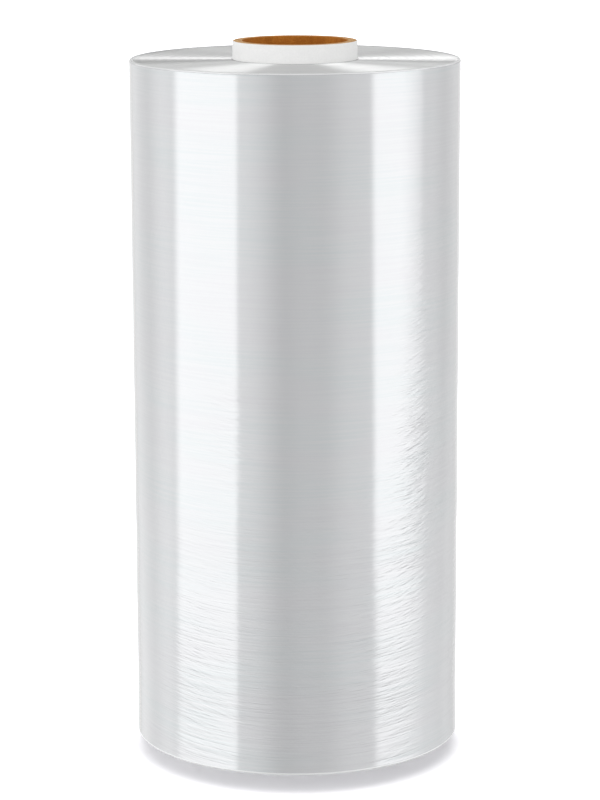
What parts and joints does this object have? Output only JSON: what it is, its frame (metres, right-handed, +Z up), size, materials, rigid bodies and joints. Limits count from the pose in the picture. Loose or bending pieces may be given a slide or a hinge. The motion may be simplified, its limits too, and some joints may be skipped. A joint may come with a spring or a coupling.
{
  "type": "stretch wrap roll",
  "caption": "Machine roll of clear stretch film wound tight on a paperboard core that stands out at both ends, stood upright on the core's end.",
  "frame": {"origin": "centre of the core's lower end face, on the roll's axis", "axes": "+Z up along the roll's axis and out of the top of the core; +Y towards the back, where the free edge of the last turn lies"},
  "size_m": [0.2422, 0.2423, 0.534],
  "materials": {
    "film": "clear polyethylene film in thousands of turns, milky and silvery in bulk, with fine wrinkles round the roll",
    "paperboard": "spirally wound brown board with a smooth white outer ply"
  },
  "bodies": {
    "root": {"wound_film": "film", "core_tube": "paperboard"}
  },
  "joints": []
}
